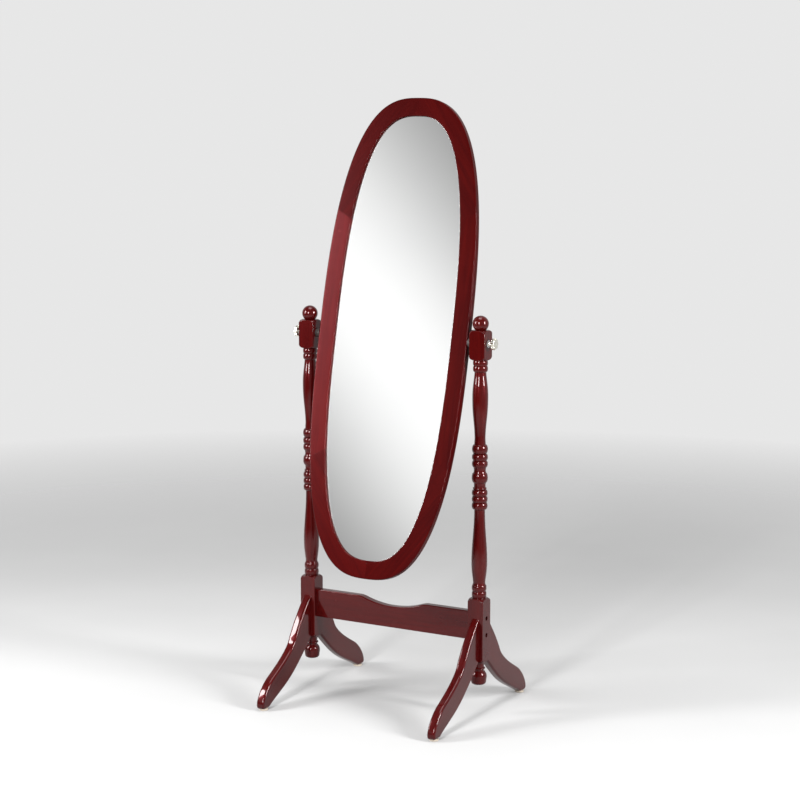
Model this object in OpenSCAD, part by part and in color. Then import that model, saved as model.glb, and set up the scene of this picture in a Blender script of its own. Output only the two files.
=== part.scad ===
// Oval cheval floor mirror.
// Two turned posts stand on four shaped legs and are joined by a stretcher. An oval framed
// mirror hangs between them on two threaded studs, and a knob on each side clamps its tilt.
// Millimetres, +Z up. The origin is on the floor midway between the posts, the front is -Y.

/* [Posts] */
// Distance between the axes of the two posts
post_spacing = 480; // [440:1:540]
// Side of the square blocks on each post
block_side = 41.5; // [39:0.5:46]
// Height of the top of the upper block above the floor
hub_block_top = 948.5; // [920:0.5:1000]
// Height of the upper block, which carries the tilt stud
hub_block_height = 72; // [60:1:90]
// Height of the bottom of the lower block above the floor
foot_block_bottom = 137.5; // [130:0.5:150]
// Height of the lower block, which carries the legs and the stretcher
foot_block_height = 158; // [150:1:175]
// Radius of the turned shoulders that cut the blocks' corners
shoulder_radius = 12; // [8:0.5:13]
// Height of the large bead in the middle of the post
centre_bead_height = 592; // [565:1:620]
// Largest radius of the turned beads and swellings
turning_radius = 19.2; // [17:0.1:20]
// Radius of the ball on top of each post
finial_radius = 19.5; // [17:0.5:22]
// Largest radius of the drop below each lower block
drop_radius = 20; // [17:0.5:22]

/* [Legs] */
// Distance from a post's axis to the toe of its leg
leg_reach = 243; // [220:1:270]
// Height at which a leg's top edge meets the block
leg_top = 247; // [235:1:260]
// Thickness of the leg boards
leg_thickness = 22; // [18:0.5:26]
// Radius of the glide nailed under each toe
glide_radius = 11; // [8:0.5:12]
// Height of the glide, which is all that touches the floor
glide_height = 5; // [4:0.5:8]

/* [Stretcher] */
// Height of the stretcher's straight bottom edge above the floor
stretcher_bottom = 191; // [180:1:195]
// Height of the stretcher board at its ends
stretcher_height = 70.5; // [66:0.5:90]
// Thickness of the stretcher board
stretcher_thickness = 20; // [18:0.5:24]
// Depth of the curved dip in the middle of the top edge
dip_depth = 17; // [10:1:24]
// Radius of the dip
dip_radius = 240; // [200:5:300]
// Radius of the crests at both ends of the dip
crest_radius = 60; // [30:5:80]

/* [Mirror frame] */
// Height of the oval frame along its own face
frame_height = 1183; // [1100:1:1200]
// Width of the frame's moulding
frame_band = 45; // [40:1:52]
// Thickness of the frame
frame_thickness = 18; // [18:0.5:22]
// Exponent of the oval, where 2 is an ellipse and more is squarer
oval_power = 2.72; // [2:0.02:3]
// Distance from the mirror's middle to the joints between side and end segments
side_joint = 310; // [280:1:330]
// Angle by which the mirror's top leans back at rest
rest_tilt = 12.8; // [0:0.1:20]
// Height of the tilt axis above the floor
pivot_height = 916.5; // [906:0.5:920]
// Gap between the frame and each post
pivot_gap = 10.65; // [9:0.05:14]

/* [Glass and back] */
// Thickness of the lip in front of the glass
lip_thickness = 6; // [5:0.5:7]
// Thickness of the silvered glass
glass_thickness = 4; // [3:0.5:5]
// Thickness of the hardboard back
back_thickness = 3; // [2.5:0.5:4]
// Width of the step that holds the glass
glass_step = 7; // [6:0.5:8]
// Width of the step that holds the back
back_step = 14; // [13:0.5:16]

/* [Tilt hardware] */
// Diameter of the threaded stud
stud_diameter = 6; // [5:0.5:8]
// Diameter across the knob's lobes
knob_diameter = 28; // [24:0.5:36]
// Number of lobes round the knob
knob_lobes = 8; // [6:1:12]
// Thickness of the lobed part of the knob
knob_thickness = 9; // [7:0.5:14]
// Length of the collar between washer and knob
collar_length = 9.5; // [6:0.5:14]

/* [Hidden] */
$fn = 64;

// Posts
half_block = block_side / 2;
post_x = post_spacing / 2;
hub_block_bottom = hub_block_top - hub_block_height;
foot_block_top = foot_block_bottom + foot_block_height;
neck_radius = 13;
core_radius = 15.8;
collar_radius = 18;
cove_height = 15;
drop_widest = foot_block_bottom - 39;
drop_height = 19.2;
drop_taper = 1.4;
drop_corner = 7;
finial_sink = 4.5;

// Running and assembly clearances
run_gap = 0.06;
glue_gap = 0.05;
face_gap = 0.3;

// Joinery
dowel_radius = 4;
dowel_length = 36;
dowel_heights = [foot_block_bottom + 25, leg_top - 23];
bolt_radius = 3;
bolt_gap = 0.2;
bolt_heights = [stretcher_bottom + 13, stretcher_bottom + 55];
bolt_head_radius = 5;
bolt_head_length = 6;
counterbore_radius = 5.5;
counterbore_depth = 12;
nut_radius = 5;
nut_length = 16;
nut_inset = 28;
bolt_bore_depth = nut_inset + 23;
glide_pin_radius = 1.25;
glide_pin_length = 12;
glide_reach = leg_reach - 18;

// Mirror
frame_a = post_x - half_block - pivot_gap;
frame_b = frame_height / 2;
sight_a = frame_a - frame_band;
sight_b = frame_b - frame_band;
glass_back = lip_thickness + glass_thickness;
back_front = frame_thickness - back_thickness - 1;
spline_width = 20;
spline_thickness = 4;
spline_length = 40;
spline_from_edge = 15.5;
screw_radius = 1.4;
screw_head_radius = 2.8;
screw_head_height = 1.6;
screw_length = 12;
screw_inset = (glass_step + back_step) / 2;
screw_angles = [8, 38, 68];

// Tilt hardware
stud_radius = stud_diameter / 2;
insert_radius = stud_radius + 2;
insert_length = 14;
spacer_radius = 11;
washer_radius = 9;
washer_thickness = 1.6;
washer_gap = 0.1;
stud_tip = frame_a - insert_length + 2.4;
knob_base = post_x + half_block + washer_gap + washer_thickness;
knob_stud_depth = 12;
knob_lobe_radius = 3.6;
collar_wall = 2.5;

wood = [0.34, 0.07, 0.06];
pale_wood = [0.80, 0.66, 0.46];
steel = [0.62, 0.63, 0.65];
brass = [0.86, 0.78, 0.55];

// Points of a cubic curve, without its first point
function curve(p0, p1, p2, p3, steps) = [
    for (i = [1:steps]) let (t = i / steps, s = 1 - t)
        s*s*s*p0 + 3*s*s*t*p1 + 3*s*t*t*p2 + t*t*t*p3
];

// Points of an arc
function arc(centre, radius, from, to, steps) = [
    for (i = [0:steps]) let (angle = from + (to - from) * i / steps)
        centre + radius * [cos(angle), sin(angle)]
];

// Both posts and all side hardware are drawn for the right and mirrored for the left
module on_left() mirror([1, 0, 0]) children();

// Everything that hangs on the tilt axis is drawn round it, upright
module tilted() translate([0, 0, pivot_height]) rotate([-rest_tilt, 0, 0]) children();

// A cylinder along X from one x to another, at a given y and z
module rod_x(x0, x1, radius, y = 0, z = 0)
    translate([x0, y, z]) rotate([0, 90, 0]) cylinder(r = radius, h = x1 - x0);

// ---- Posts ----

// Outline of one turned bead, from its lower notch over its crest to its upper notch
function bead(height, half, radius, notch = core_radius) = [
    for (i = [-4:4]) let (angle = 22.5 * i)
        [notch + (radius - notch) * cos(angle), height + half * sin(angle)]
];

// Several beads from a list of heights above a base, and their half heights
function beads(base, list, radius) = [
    for (b = list) each bead(base + b[0], b[1], radius)
];

// Square block whose corners are turned away to round shoulders at both ends
module turned_block(bottom, top) {
    diagonal = half_block * sqrt(2) + 0.1;
    inner = diagonal - shoulder_radius;
    intersection() {
        translate([-half_block, -half_block, bottom]) cube([block_side, block_side, top - bottom]);
        rotate_extrude() polygon(concat(
            [[0, bottom]],
            arc([inner, bottom + shoulder_radius], shoulder_radius, -90, 0, 6),
            arc([inner, top - shoulder_radius], shoulder_radius, 0, 90, 6),
            [[0, top]]
        ));
    }
}

// Acorn with a flat end and a round shoulder, then a ring and a cove, below the lower block
function drop_outline() =
    let (
        quirk = acos(neck_radius / drop_radius),
        cove = foot_block_bottom - cove_height,
        end = drop_widest - drop_height,
        corner = [drop_radius - drop_taper - drop_corner, end + drop_corner]
    )
    concat(
        [[0, end]],
        arc(corner, drop_corner, -90, -8, 6),
        arc([0, drop_widest], drop_radius, 0, quirk, 7),
        bead(cove - 2.6, 2.4, core_radius, neck_radius),
        curve([neck_radius, cove], [neck_radius, cove + 9], [15, cove + 12], [17, foot_block_bottom - 1], 5)
    );

// Two beads above the lower block and the long swelling over them
function lower_stem_outline() =
    let (base = foot_block_top, low = base + 40, swell = base + 92, top = centre_bead_height - 79)
    concat(
        [[core_radius, base - 2]],
        beads(base, [[8.8, 7.7], [24.8, 7.7]], collar_radius),
        curve([core_radius, base + 33], [14.6, base + 36], [14.8, base + 38], [15, low], 3),
        curve([15, low], [17, low + 18], [turning_radius, swell - 26], [turning_radius, swell], 6),
        curve([turning_radius, swell], [turning_radius, swell + 40],
              [neck_radius, top - 50], [neck_radius, top], 8)
    );

// Three beads and a thin ring, a cove, the large bead, a cove and three beads
function centre_outline() =
    let (middle = centre_bead_height, ring = neck_radius + 1)
    concat(
        beads(middle, [[-69, 8.2], [-53, 7.6], [-37.4, 7.6]], turning_radius),
        bead(middle - 26.2, 2.6, core_radius + 1, ring),
        curve([ring, middle - 22], [ring, middle - 18], [ring, middle - 14], [core_radius, middle - 12], 4),
        bead(middle, 11.6, turning_radius + 0.2),
        curve([core_radius, middle + 12], [ring, middle + 15],
              [ring, middle + 21], [core_radius, middle + 25], 4),
        beads(middle, [[33.5, 8], [50, 8]], turning_radius),
        bead(middle + 69.6, 11, turning_radius, ring)
    );

// Long swelling and two beads below the upper block
function upper_stem_outline() =
    let (top = hub_block_bottom, low = centre_bead_height + 88, swell = top - 89, neck = top - 29)
    concat(
        curve([neck_radius, low], [neck_radius, low + 44],
              [turning_radius, swell - 50], [turning_radius, swell], 8),
        curve([turning_radius, swell], [turning_radius, swell + 26], [14.5, neck - 14], [14.2, neck], 6),
        beads(top, [[-20.6, 6.9], [-6.7, 6.7]], collar_radius)
    );

// Ball on top of the upper block, sunk a little into it
function finial_outline() = concat(
    [[core_radius, hub_block_bottom + 2], [finial_radius / 2, hub_block_bottom + 2]],
    arc([0, hub_block_top + finial_radius - finial_sink], finial_radius, -60, 90, 14)
);

// The whole turning from the drop to the finial; it runs on unseen inside the square blocks
module turning() rotate_extrude() polygon(concat(
    drop_outline(), lower_stem_outline(), centre_outline(), upper_stem_outline(), finial_outline()
));

// One post with its bores for the tilt stud, the stretcher bolts and the leg dowels
module post() translate([post_x, 0, 0]) difference() {
    union() {
        turned_block(foot_block_bottom, foot_block_top);
        turned_block(hub_block_bottom, hub_block_top);
        turning();
    }
    rod_x(-half_block - 1, half_block + 1, stud_radius + run_gap, z = pivot_height);
    for (z = bolt_heights) {
        rod_x(-half_block - 1, half_block + 1, bolt_radius + bolt_gap, z = z);
        rod_x(half_block - counterbore_depth, half_block + 1, counterbore_radius, z = z);
    }
    for (z = dowel_heights, side = [-1, 1])
        translate([0, side * half_block, z]) rotate([90, 0, 0])
            cylinder(r = dowel_radius + glue_gap, h = dowel_length, center = true);
}

module post_right() color(wood) post();
module post_left() color(wood) on_left() post();

// ---- Legs ----

// A place on the leg's side: along from the block to the toe, and up as a part of the leg's top
function leg_place(along, up) = [half_block + along * (leg_reach - half_block), up * leg_top];

// Outline of the leg in its own plane: an S down to the toe, a flat land and a hollow underside
function leg_outline() =
    let (
        shoulder = leg_place(0, 1),
        waist = leg_place(0.343, 0.591),
        instep = leg_place(0.784, 0.304),
        toe = [leg_reach, 14],
        land_out = [leg_reach - 7, glide_height],
        land_in = [leg_reach - 29, glide_height],
        hollow = leg_place(0.411, 0.239),
        heel = [half_block, foot_block_bottom]
    )
    concat(
        [shoulder],
        curve(shoulder, leg_place(0.105, 0.915), leg_place(0.294, 0.688), waist, 10),
        curve(waist, leg_place(0.402, 0.494), leg_place(0.627, 0.377), instep, 10),
        curve(instep, leg_place(0.883, 0.255), [leg_reach, 34], toe, 8),
        curve(toe, [leg_reach, 8.5], [leg_reach - 3, glide_height], land_out, 4),
        [land_in],
        curve(land_in, leg_place(0.762, 0.081), leg_place(0.564, 0.146), hollow, 10),
        curve(hollow, leg_place(0.285, 0.312), leg_place(0.114, 0.457), heel, 10)
    );

// One leg, on the right post and reaching to the rear
module leg() translate([post_x, 0, 0]) difference() {
    rotate([90, 0, 90]) translate([0, 0, -leg_thickness / 2])
        linear_extrude(leg_thickness) polygon(leg_outline());
    for (z = dowel_heights) translate([0, half_block, z]) rotate([90, 0, 0])
        cylinder(r = dowel_radius + glue_gap, h = dowel_length + 1, center = true);
    translate([0, glide_reach, 0])
        cylinder(r = glide_pin_radius + glue_gap, h = glide_height + glide_pin_length + 0.5);
}

module to_front() mirror([0, 1, 0]) children();

module rear_leg_right() color(wood) leg();
module rear_leg_left() color(wood) on_left() leg();
module front_leg_right() color(wood) to_front() leg();
module front_leg_left() color(wood) on_left() to_front() leg();

module leg_dowels() color(pale_wood)
    for (x = [-post_x, post_x], side = [-1, 1], z = dowel_heights)
        translate([x, side * half_block, z]) rotate([90, 0, 0])
            cylinder(r = dowel_radius, h = dowel_length - 1, center = true);

// Glide with a rounded rim and a pin, nailed into the land under each toe
module foot_glides() color("ivory")
    for (x = [-post_x, post_x], side = [-1, 1]) translate([x, side * glide_reach, 0]) {
        rotate_extrude() union() {
            translate([0, 1.5]) square([glide_radius, glide_height - 1.5]);
            square([glide_radius - 1.5, glide_height]);
            translate([glide_radius - 1.5, 1.5]) circle(1.5);
        }
        cylinder(r = glide_pin_radius, h = glide_height + glide_pin_length);
    }

// ---- Stretcher ----

stretcher_top = stretcher_bottom + stretcher_height;
stretcher_end = post_x - half_block;

// Right half of the top edge, from the bottom of the dip over the crest to the end
function stretcher_edge() =
    let (
        dip_centre = [0, stretcher_top - dip_depth + dip_radius],
        rise = dip_centre[1] - (stretcher_top - crest_radius),
        crest_x = sqrt(pow(dip_radius + crest_radius, 2) - rise * rise),
        crest_centre = [crest_x, stretcher_top - crest_radius],
        meet = atan2(rise, -crest_x)
    )
    concat(
        arc(dip_centre, dip_radius, -90, meet - 180, 12),
        arc(crest_centre, crest_radius, meet, 90, 5),
        [[stretcher_end, stretcher_top], [stretcher_end, stretcher_bottom]]
    );

function reversed(points) = [for (i = [len(points) - 1:-1:0]) points[i]];
function flipped(points) = [for (p = points) [-p[0], p[1]]];

module stretcher() color(wood) difference() {
    translate([0, stretcher_thickness / 2, 0]) rotate([90, 0, 0]) linear_extrude(stretcher_thickness)
        polygon(concat(stretcher_edge(), reversed(flipped(stretcher_edge()))));
    for (side = [-1, 1], z = bolt_heights) {
        translate([side * stretcher_end, 0, z]) rotate([0, 90, 0])
            cylinder(r = bolt_radius + bolt_gap, h = 2 * bolt_bore_depth, center = true);
        translate([side * (stretcher_end - nut_inset), -nut_length / 2, z]) rotate([-90, 0, 0])
            cylinder(r = nut_radius + 0.1, h = nut_length + stretcher_thickness);
    }
}

// Socket-head bolts that draw the posts onto the stretcher's ends
module stretcher_bolts() color(steel) for (side = [0, 1], z = bolt_heights) mirror([side, 0, 0]) {
    head_base = post_x + half_block - counterbore_depth;
    difference() {
        union() {
            rod_x(head_base, head_base + bolt_head_length, bolt_head_radius, z = z);
            rod_x(stretcher_end - nut_inset - 8, head_base + 1, bolt_radius, z = z);
        }
        translate([head_base + bolt_head_length - 3, 0, z]) rotate([0, 90, 0])
            cylinder(d = 5.8, h = 4, $fn = 6);
    }
}

// Cross nuts in the stretcher, put in from behind
module stretcher_barrel_nuts() color(steel) for (side = [-1, 1], z = bolt_heights)
    difference() {
        translate([side * (stretcher_end - nut_inset), 0, z]) rotate([90, 0, 0])
            cylinder(r = nut_radius, h = nut_length - 0.4, center = true);
        translate([side * (stretcher_end - nut_inset), 0, z]) rotate([0, 90, 0])
            cylinder(r = bolt_radius + glue_gap, h = 3 * nut_radius, center = true);
    }

// ---- Mirror frame ----

// Point of an oval with half width a and half height b, for an angle from 0 to 90 degrees
function oval_point(a, b, t) = [
    a * pow(max(0, cos(t)), 2 / oval_power),
    b * pow(max(0, sin(t)), 2 / oval_power)
];

// Angle at which an oval of half height b reaches height w
function oval_angle(b, w) = asin(pow(w / b, oval_power / 2));

// Part of an oval's first quarter between two heights
function oval_part(a, b, w0, w1, steps) =
    let (t0 = oval_angle(b, w0), t1 = w1 >= b ? 90 : oval_angle(b, w1))
    [for (i = [0:steps]) oval_point(a, b, t0 + (t1 - t0) * i / steps)];

// A slab of the frame between two depths behind its front face
module slab(from, to)
    translate([0, to - frame_thickness / 2, 0]) rotate([90, 0, 0]) linear_extrude(to - from) children();

// Outlines of a side segment and of an end segment, whose inside is an oval of half size a, b
module side_outline(a, b) {
    outer = oval_part(frame_a, frame_b, 0, side_joint, 10);
    inner = oval_part(a, b, 0, side_joint, 10);
    lower = function(points) [for (i = [len(points) - 1:-1:1]) [points[i][0], -points[i][1]]];
    polygon(concat(lower(outer), outer, reversed(concat(lower(inner), inner))));
}

module end_outline(a, b) {
    outer = oval_part(frame_a, frame_b, side_joint, frame_b, 18);
    inner = oval_part(a, b, side_joint, b, 18);
    polygon(concat(outer, reversed(inner)));
}

// The three steps of the frame's section: the lip, the glass step and the back step
module frame_section(is_side) {
    // Each step is a start depth, an end depth and how far it lies outside the sight edge
    steps = [
        [0, lip_thickness, 0],
        [lip_thickness, back_front, glass_step],
        [back_front, frame_thickness, back_step]
    ];
    for (step = steps) slab(step[0], step[1])
        if (is_side) side_outline(sight_a + step[2], sight_b + step[2]);
        else end_outline(sight_a + step[2], sight_b + step[2]);
}

// Loose tongues across the joints of the first quarter; extra widens them into their slots
module quarter_splines(extra = 0) {
    joint_x = oval_point(frame_a, frame_b, oval_angle(frame_b, side_joint))[0] - spline_from_edge;
    width = spline_width + extra;
    thickness = spline_thickness + extra;
    length = spline_length + extra;
    translate([joint_x, 0, side_joint]) cube([width, thickness, length], center = true);
    translate([0, 0, frame_b - spline_from_edge]) cube([length, thickness, width], center = true);
}

// Screw places of the first quarter, on the step between glass and back
function screw_places() = [
    for (t = screw_angles) oval_point(sight_a + screw_inset, sight_b + screw_inset, t)
];

// A right-hand side segment, with the bore for the threaded insert in its outer edge
module side_segment() difference() {
    frame_section(true);
    for (side = [0, 1]) mirror([0, 0, side]) {
        quarter_splines(0.1);
        translate([screw_places()[0][0], 0, screw_places()[0][1]]) screw_pilot();
    }
    rod_x(frame_a - insert_length - 0.5, frame_a + 1, insert_radius + glue_gap);
}

// Pilot hole for one screw of the back, from behind
module screw_pilot() translate([0, frame_thickness / 2 + 1, 0]) rotate([90, 0, 0])
    cylinder(r = screw_radius + glue_gap, h = screw_length + 2);

// The upper right end segment
module end_segment() difference() {
    frame_section(false);
    quarter_splines(0.1);
    for (i = [1, 2]) translate([screw_places()[i][0], 0, screw_places()[i][1]]) screw_pilot();
}

module frame_side_right() color(wood) tilted() side_segment();
module frame_side_left() color(wood) tilted() on_left() side_segment();
module frame_top_right() color(wood) tilted() end_segment();
module frame_top_left() color(wood) tilted() on_left() end_segment();
module frame_bottom_right() color(wood) tilted() mirror([0, 0, 1]) end_segment();
module frame_bottom_left() color(wood) tilted() on_left() mirror([0, 0, 1]) end_segment();

// A tongue at each of the six joints
module frame_splines() color(pale_wood) tilted()
    for (left = [0, 1], low = [0, 1]) mirror([left, 0, 0]) mirror([0, 0, low]) quarter_splines();

// A full oval plate between two depths
module oval_plate(a, b, from, to) {
    quarter = oval_part(a, b, 0, b, 26);
    upper = concat(quarter, [for (i = [25:-1:0]) [-quarter[i][0], quarter[i][1]]]);
    lower = [for (i = [len(upper) - 2:-1:1]) [upper[i][0], -upper[i][1]]];
    slab(from, to) polygon(concat(upper, lower));
}

module mirror_glass() color([0.85, 0.88, 0.9]) tilted()
    oval_plate(sight_a + glass_step - 1, sight_b + glass_step - 1, lip_thickness, glass_back);

// Foam sheet that presses the glass against the lip
module backing_pad() color("whitesmoke") tilted()
    oval_plate(sight_a + glass_step - 1, sight_b + glass_step - 1, glass_back, back_front);

// All twelve screw places, each with its children there
module at_screws() for (sx = [-1, 1], sz = [-1, 1], place = screw_places())
    translate([sx * place[0], 0, sz * place[1]]) children();

// Depth of the back's rear face, measured from the tilt axis
back_rear = back_front + back_thickness - frame_thickness / 2;

module back_panel() color([0.45, 0.3, 0.18]) tilted() difference() {
    oval_plate(sight_a + back_step - 0.8, sight_b + back_step - 0.8, back_front, back_front + back_thickness);
    at_screws() {
        translate([0, back_rear + 1, 0]) rotate([90, 0, 0]) cylinder(r = screw_radius + 0.1, h = 10);
        translate([0, back_rear + 0.01, 0]) rotate([90, 0, 0])
            cylinder(r1 = screw_head_radius + 0.1, r2 = screw_radius + 0.1, h = screw_head_height);
    }
}

module back_panel_screws() color(steel) tilted() at_screws() difference() {
    union() {
        translate([0, back_rear, 0]) rotate([90, 0, 0])
            cylinder(r1 = screw_head_radius, r2 = screw_radius, h = screw_head_height);
        translate([0, back_rear, 0]) rotate([90, 0, 0]) cylinder(r = screw_radius, h = screw_length);
    }
    for (turn = [0, 90]) translate([0, back_rear, 0]) rotate([0, turn, 0])
        cube([3, 1.4, 0.7], center = true);
}

// ---- Tilt hardware, drawn on the right ----

// Threaded brass insert in the frame's edge
module pivot_insert() difference() {
    rod_x(frame_a - insert_length, frame_a, insert_radius);
    rod_x(frame_a - insert_length - 1, frame_a + 1, stud_radius + run_gap);
}

module pivot_insert_right() color(brass) tilted() pivot_insert();
module pivot_insert_left() color(brass) tilted() on_left() pivot_insert();

// Round spacer between frame and post
module pivot_spacer() difference() {
    rod_x(frame_a, post_x - half_block - face_gap, spacer_radius);
    rod_x(frame_a - 1, post_x, stud_radius + run_gap);
}

module pivot_spacer_right() color("dimgray") tilted() pivot_spacer();
module pivot_spacer_left() color("dimgray") tilted() on_left() pivot_spacer();

module knob_washer() difference() {
    rod_x(knob_base - washer_thickness, knob_base, washer_radius);
    rod_x(knob_base - washer_thickness - 1, knob_base + 1, stud_radius + run_gap);
}

module knob_washer_right() color(steel) tilted() knob_washer();
module knob_washer_left() color(steel) tilted() on_left() knob_washer();

module knob_outline() {
    circle(knob_diameter / 2 - knob_lobe_radius * 0.6);
    for (i = [0:knob_lobes - 1]) rotate(360 * i / knob_lobes)
        translate([knob_diameter / 2 - knob_lobe_radius, 0]) circle(knob_lobe_radius);
}

// Cast knob: a round collar and a disc with lobes round its rim, bored for the stud
module tilt_knob() difference() {
    union() {
        rod_x(knob_base, knob_base + collar_length + 1, stud_radius + collar_wall);
        translate([knob_base + collar_length, 0, 0]) rotate([0, 90, 0])
            linear_extrude(knob_thickness) knob_outline();
    }
    rod_x(knob_base - 1, knob_base + knob_stud_depth, stud_radius + 0.02);
}

module tilt_knob_right() color(brass) tilted() tilt_knob();
module tilt_knob_left() color(brass) tilted() on_left() tilt_knob();

// Threaded stud that is fixed in the knob and screws into the insert
module knob_stud() rod_x(stud_tip, knob_base + knob_stud_depth - 0.2, stud_radius);

module knob_stud_right() color(steel) tilted() knob_stud();
module knob_stud_left() color(steel) tilted() on_left() knob_stud();

post_left();
post_right();
stretcher();
front_leg_left();
front_leg_right();
rear_leg_left();
rear_leg_right();
leg_dowels();
foot_glides();
stretcher_bolts();
stretcher_barrel_nuts();
frame_side_left();
frame_side_right();
frame_top_left();
frame_top_right();
frame_bottom_left();
frame_bottom_right();
frame_splines();
mirror_glass();
backing_pad();
back_panel();
back_panel_screws();
pivot_insert_left();
pivot_insert_right();
pivot_spacer_left();
pivot_spacer_right();
knob_washer_left();
knob_washer_right();
tilt_knob_left();
tilt_knob_right();
knob_stud_left();
knob_stud_right();
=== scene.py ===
import math

import bmesh
import bpy
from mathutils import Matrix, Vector


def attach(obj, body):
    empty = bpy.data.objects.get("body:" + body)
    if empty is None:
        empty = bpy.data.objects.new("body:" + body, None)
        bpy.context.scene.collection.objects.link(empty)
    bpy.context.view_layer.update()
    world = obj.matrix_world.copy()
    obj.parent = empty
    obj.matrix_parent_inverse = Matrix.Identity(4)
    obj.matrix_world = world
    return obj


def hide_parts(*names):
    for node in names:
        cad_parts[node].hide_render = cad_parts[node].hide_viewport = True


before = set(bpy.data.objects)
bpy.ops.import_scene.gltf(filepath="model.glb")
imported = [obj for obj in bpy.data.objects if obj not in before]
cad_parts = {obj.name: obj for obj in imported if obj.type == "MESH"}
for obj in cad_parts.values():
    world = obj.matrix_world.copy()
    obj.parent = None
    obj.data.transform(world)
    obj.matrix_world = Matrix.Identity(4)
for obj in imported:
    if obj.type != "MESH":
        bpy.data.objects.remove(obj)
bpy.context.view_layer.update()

MM = 0.001

# ---- Posts ----
# Each post is one square stick of cherry, left square where the legs, stretcher and mirror join
# it and turned between on a lathe, with a ball at both ends. It is stained and gloss lacquered.

BLOCK_HALF = 20.75
HUB_TOP = 948.5
HUB_BOTTOM = 876.5
FOOT_TOP = 295.5
FOOT_BOTTOM = 137.5
SHOULDER = 12
SHOULDER_EASE = 0.8
MIDDLE = 592
POST_X = 240
PIVOT_Z = 916.5


def curve(p0, p1, p2, p3, steps):
    """Points of a cubic curve, without its first point."""
    points = []
    for i in range(1, steps + 1):
        t = i / steps
        s = 1 - t
        weights = (s * s * s, 3 * s * s * t, 3 * s * t * t, t * t * t)
        points.append(tuple(sum(w * p[k] for w, p in zip(weights, (p0, p1, p2, p3))) for k in (0, 1)))
    return points


def arc(centre, radius, start, end, steps):
    """Points of an arc between two angles in degrees."""
    points = []
    for i in range(steps + 1):
        angle = math.radians(start + (end - start) * i / steps)
        points.append((centre[0] + radius * math.cos(angle), centre[1] + radius * math.sin(angle)))
    return points


def bead(height, half, radius, notch=15.8, steps=10):
    """Outline of one turned bead, as radius and height, from its lower notch to its upper one."""
    points = []
    for i in range(steps + 1):
        angle = math.pi * (i / steps - 0.5)
        points.append((notch + (radius - notch) * math.cos(angle), height + half * math.sin(angle)))
    return points


def release():
    """Leaves edit mode and deselects every object."""
    if bpy.context.mode != "OBJECT":
        bpy.ops.object.mode_set(mode="OBJECT")
    bpy.ops.object.select_all(action="DESELECT")


def take(piece):
    """Makes one object the only one that the operators work on."""
    release()
    piece.select_set(True)
    bpy.context.view_layer.objects.active = piece


def named(name):
    """Names the object that was just added."""
    piece = bpy.context.object
    piece.name = name
    piece.data.name = name
    return piece


def draw(name, points):
    """A line drawn by extruding one vertex from point to point, in millimetres."""
    release()
    points = [Vector(p) * MM for p in points]
    bpy.ops.mesh.primitive_plane_add(size=MM)
    piece = named(name)
    bpy.ops.object.mode_set(mode="EDIT")
    bpy.ops.mesh.select_all(action="SELECT")
    bpy.ops.mesh.merge(type="CENTER")
    bpy.ops.transform.translate(value=points[0])
    for here, there in zip(points, points[1:]):
        bpy.ops.mesh.extrude_region_move(TRANSFORM_OT_translate={"value": there - here})
    return piece


def tidy_mesh(apart=0.002):
    """In edit mode: welds doubles that lie closer than that many millimetres and turns faces outward."""
    bpy.ops.mesh.select_all(action="SELECT")
    bpy.ops.mesh.remove_doubles(threshold=apart * MM)
    bpy.ops.mesh.normals_make_consistent(inside=False)


def turned(name, outline, centre, axis, steps=64):
    """A closed turning: an outline of radius and distance along the axis, spun round it."""
    across = Vector((0, 0, 1)) if axis[0] else Vector((1, 0, 0))
    points = [Vector(centre) + across * r + Vector(axis) * along for r, along in outline]
    piece = draw(name, points)
    bpy.ops.mesh.select_all(action="SELECT")
    bpy.ops.mesh.spin(steps=steps, angle=math.tau, center=Vector(centre) * MM, axis=axis)
    tidy_mesh()
    release()
    return piece


def combined(piece, other, operation):
    """Unites, cuts or intersects a piece with another, which is used up."""
    take(piece)
    bpy.ops.object.modifier_add(type="BOOLEAN")
    modifier = piece.modifiers[-1]
    modifier.operation = operation
    modifier.solver = "EXACT"
    modifier.object = other
    bpy.ops.object.modifier_apply(modifier=modifier.name)
    bpy.data.objects.remove(other)
    return piece


def drill(radius, centre, length, axis="X"):
    """A round cutter of a given length round its centre, in millimetres."""
    release()
    turn = {"X": (0, math.pi / 2, 0), "Y": (math.pi / 2, 0, 0), "Z": (0, 0, 0)}[axis]
    bpy.ops.mesh.primitive_cylinder_add(
        vertices=48, radius=radius * MM, depth=length * MM, location=Vector(centre) * MM, rotation=turn
    )
    cutter = named("cutter")
    bpy.ops.object.transform_apply(location=True, rotation=True, scale=True)
    return cutter


def smoothed(piece, angle=32, flats=True):
    """Smooth shading that keeps hard edges, and keeps broad flats flat beside rounded edges."""
    take(piece)
    bpy.ops.object.shade_smooth_by_angle(angle=math.radians(angle))
    if flats:
        bpy.ops.object.modifier_add(type="WEIGHTED_NORMAL")
        modifier = piece.modifiers[-1]
        modifier.keep_sharp = True
        modifier.weight = 100
        bpy.ops.object.modifier_apply(modifier=modifier.name)
    return piece


def twin(piece, name, scale=(-1, 1, 1), smooth=True):
    """A copy with its own mesh, reflected in a plane through the origin and smoothed afresh."""
    take(piece)
    bpy.ops.object.duplicate(linked=False)
    copy = named(name)
    bpy.ops.object.mode_set(mode="EDIT")
    bpy.ops.mesh.select_all(action="SELECT")
    bpy.ops.transform.resize(value=scale, center_override=(0, 0, 0))
    bpy.ops.mesh.flip_normals()
    return smoothed(copy) if smooth else copy


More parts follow.
